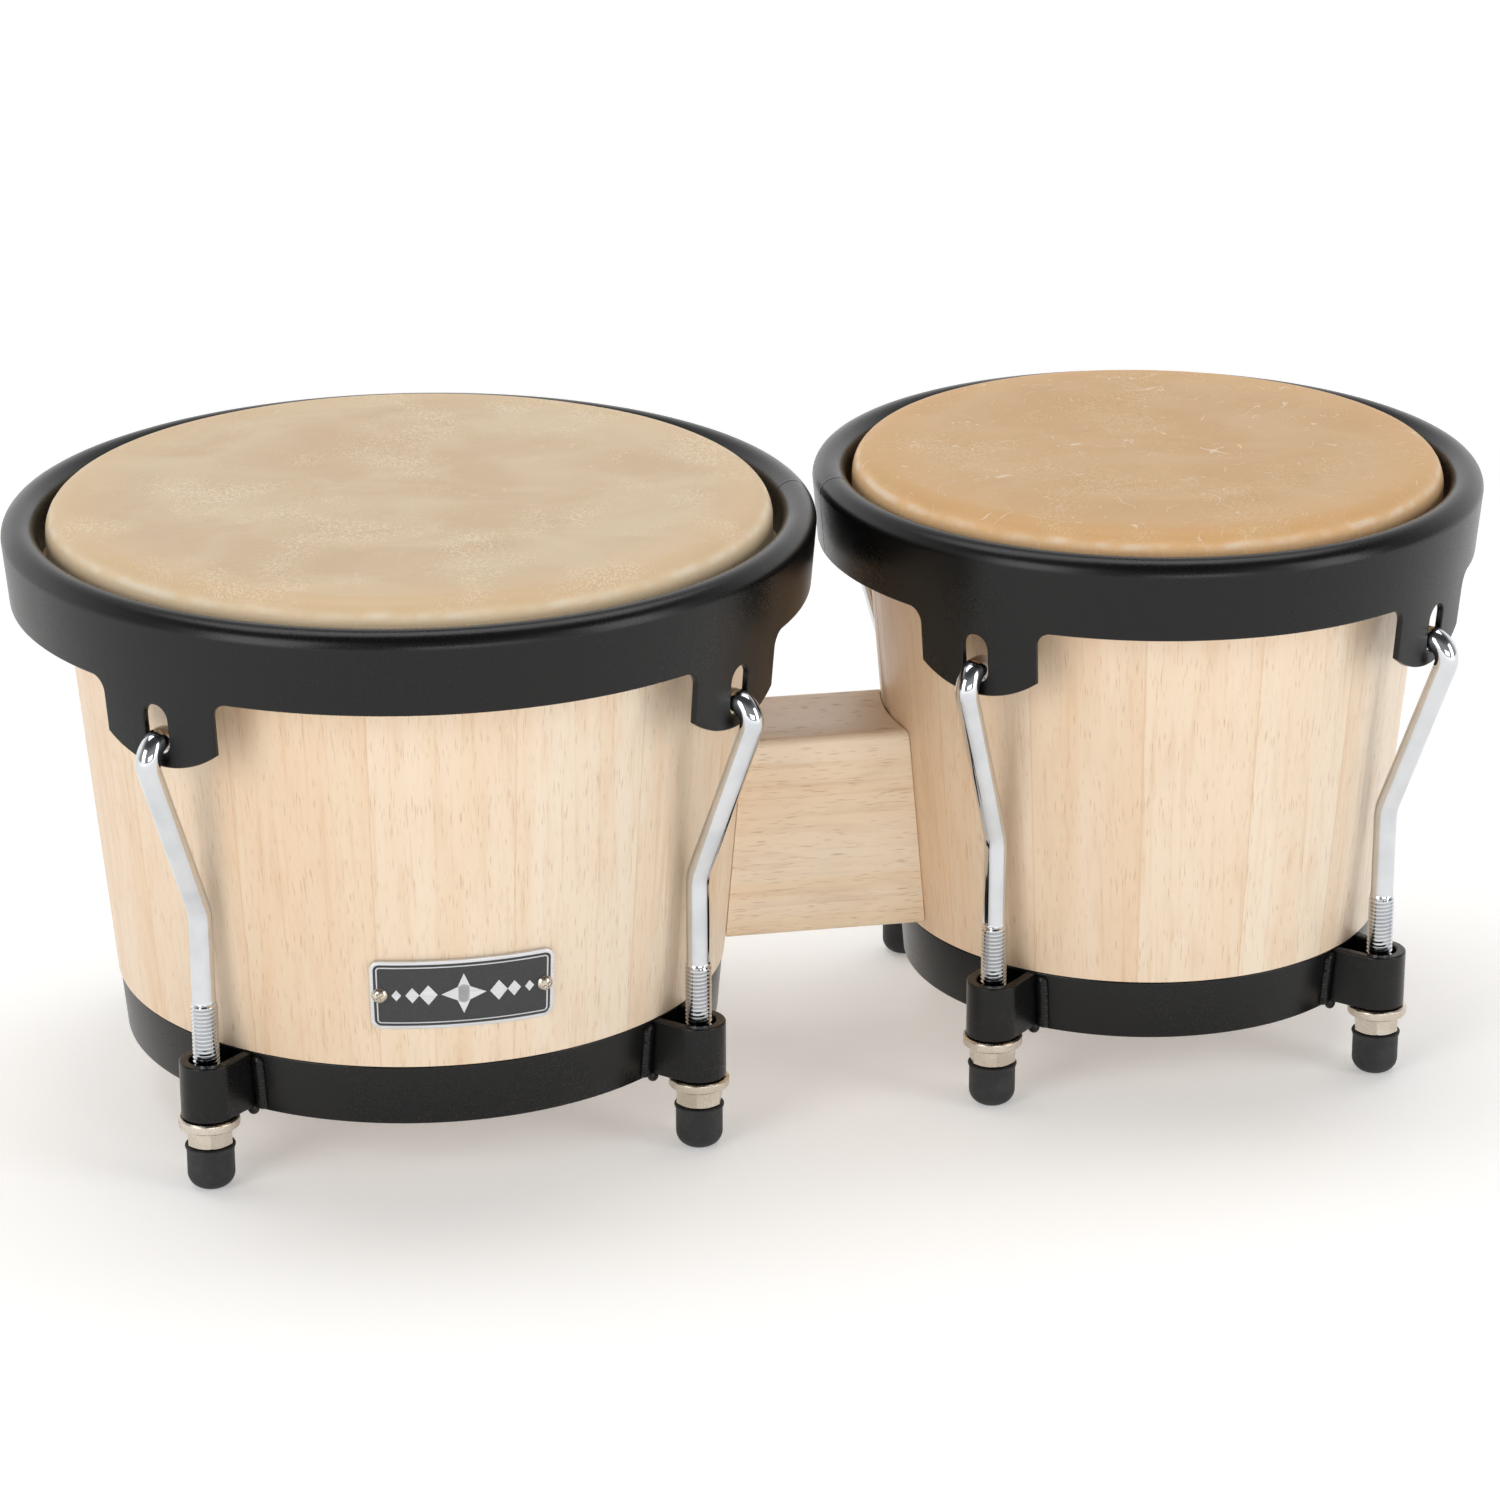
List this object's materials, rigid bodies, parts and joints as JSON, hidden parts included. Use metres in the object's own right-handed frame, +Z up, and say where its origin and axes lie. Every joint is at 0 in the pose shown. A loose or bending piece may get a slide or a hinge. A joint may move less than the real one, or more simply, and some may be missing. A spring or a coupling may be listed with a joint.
{
  "type": "bongo drums",
  "caption": "Pair of tapered wooden bongo drums joined by a wooden block, with rawhide heads, black steel rims, chromed tuning hooks and rubber feet.",
  "frame": {"origin": "on the floor under the middle of the pair's bounding box", "axes": "+X from the large drum to the small drum, -Y towards the badge side, +Z up"},
  "size_m": [0.4548, 0.2444, 0.1893],
  "materials": {
    "rubberwood": "clear satin lacquer",
    "rawhide": "scraped rawhide, mottled",
    "powder_coated_steel": "satin black powder coat",
    "chrome": "bright chrome plate",
    "nickel_plated_steel": "bright nickel plate",
    "zinc_plated_steel": "dull zinc plate",
    "rubber": "matt black rubber",
    "badge_enamel": "pressed plate, black enamel in a bright border"
  },
  "bodies": {
    "shells": {"large_shell": "rubberwood", "large_head": "rawhide", "large_bottom_ring": "powder_coated_steel", "large_lug_front_left": "powder_coated_steel", "large_lug_front_right": "powder_coated_steel", "large_lug_back_left": "powder_coated_steel", "large_lug_back_right": "powder_coated_steel", "small_shell": "rubberwood", "small_head": "rawhide", "small_bottom_ring": "powder_coated_steel", "small_lug_front_left": "powder_coated_steel", "small_lug_front_right": "powder_coated_steel", "small_lug_back_left": "powder_coated_steel", "small_lug_back_right": "powder_coated_steel", "centre_block": "rubberwood", "block_bolt_upper": "zinc_plated_steel", "block_bolt_lower": "zinc_plated_steel", "block_nut_upper": "zinc_plated_steel", "block_nut_lower": "zinc_plated_steel", "large_washer_upper": "zinc_plated_steel", "large_washer_lower": "zinc_plated_steel", "small_washer_upper": "zinc_plated_steel", "small_washer_lower": "zinc_plated_steel", "badge": "badge_enamel", "badge_screw_left": "chrome", "badge_screw_right": "chrome"},
    "large_tuning": {"large_rim": "powder_coated_steel", "large_flesh_hoop": "zinc_plated_steel", "large_hook_front_left": "chrome", "large_hook_front_right": "chrome", "large_hook_back_left": "chrome", "large_hook_back_right": "chrome", "large_foot_front_left": "rubber", "large_foot_front_right": "rubber", "large_foot_back_left": "rubber", "large_foot_back_right": "rubber"},
    "large_nut_front_left": {"large_nut_front_left": "nickel_plated_steel"},
    "large_nut_front_right": {"large_nut_front_right": "nickel_plated_steel"},
    "large_nut_back_left": {"large_nut_back_left": "nickel_plated_steel"},
    "large_nut_back_right": {"large_nut_back_right": "nickel_plated_steel"},
    "small_tuning": {"small_rim": "powder_coated_steel", "small_flesh_hoop": "zinc_plated_steel", "small_hook_front_left": "chrome", "small_hook_front_right": "chrome", "small_hook_back_left": "chrome", "small_hook_back_right": "chrome", "small_foot_front_left": "rubber", "small_foot_front_right": "rubber", "small_foot_back_left": "rubber", "small_foot_back_right": "rubber"},
    "small_nut_front_left": {"small_nut_front_left": "nickel_plated_steel"},
    "small_nut_front_right": {"small_nut_front_right": "nickel_plated_steel"},
    "small_nut_back_left": {"small_nut_back_left": "nickel_plated_steel"},
    "small_nut_back_right": {"small_nut_back_right": "nickel_plated_steel"}
  },
  "joints": [
    {"name": "large_rim_travel", "type": "slide", "parent": "shells", "child": "large_tuning", "axis": [0, 0, -1], "range_m": [0, 0.005]},
    {"name": "large_nut_front_left_turn", "type": "hinge", "parent": "shells", "child": "large_nut_front_left", "pos_m": [-0.17885, -0.07365, 0.0184], "axis": [0, 0, 1], "range_deg": [0, 1440]},
    {"name": "large_nut_front_right_turn", "type": "hinge", "parent": "shells", "child": "large_nut_front_right", "pos_m": [-0.03155, -0.07365, 0.0184], "axis": [0, 0, 1], "range_deg": [0, 1440]},
    {"name": "large_nut_back_left_turn", "type": "hinge", "parent": "shells", "child": "large_nut_back_left", "pos_m": [-0.17885, 0.07365, 0.0184], "axis": [0, 0, 1], "range_deg": [0, 1440]},
    {"name": "large_nut_back_right_turn", "type": "hinge", "parent": "shells", "child": "large_nut_back_right", "pos_m": [-0.03155, 0.07365, 0.0184], "axis": [0, 0, 1], "range_deg": [0, 1440]},
    {"name": "small_rim_travel", "type": "slide", "parent": "shells", "child": "small_tuning", "axis": [0, 0, -1], "range_m": [0, 0.005]},
    {"name": "small_nut_front_left_turn", "type": "hinge", "parent": "shells", "child": "small_nut_front_left", "pos_m": [0.06234, -0.06156, 0.0184], "axis": [0, 0, 1], "range_deg": [0, 1440]},
    {"name": "small_nut_front_right_turn", "type": "hinge", "parent": "shells", "child": "small_nut_front_right", "pos_m": [0.18546, -0.06156, 0.0184], "axis": [0, 0, 1], "range_deg": [0, 1440]},
    {"name": "small_nut_back_left_turn", "type": "hinge", "parent": "shells", "child": "small_nut_back_left", "pos_m": [0.06234, 0.06156, 0.0184], "axis": [0, 0, 1], "range_deg": [0, 1440]},
    {"name": "small_nut_back_right_turn", "type": "hinge", "parent": "shells", "child": "small_nut_back_right", "pos_m": [0.18546, 0.06156, 0.0184], "axis": [0, 0, 1], "range_deg": [0, 1440]}
  ],
  "couplings": [
    {"joint": "large_nut_front_left_turn", "follows": "large_rim_travel", "rad_per_m": 5026.5},
    {"joint": "large_nut_front_right_turn", "follows": "large_rim_travel", "rad_per_m": 5026.5},
    {"joint": "large_nut_back_left_turn", "follows": "large_rim_travel", "rad_per_m": 5026.5},
    {"joint": "large_nut_back_right_turn", "follows": "large_rim_travel", "rad_per_m": 5026.5},
    {"joint": "small_nut_front_left_turn", "follows": "small_rim_travel", "rad_per_m": 5026.5},
    {"joint": "small_nut_front_right_turn", "follows": "small_rim_travel", "rad_per_m": 5026.5},
    {"joint": "small_nut_back_left_turn", "follows": "small_rim_travel", "rad_per_m": 5026.5},
    {"joint": "small_nut_back_right_turn", "follows": "small_rim_travel", "rad_per_m": 5026.5}
  ]
}
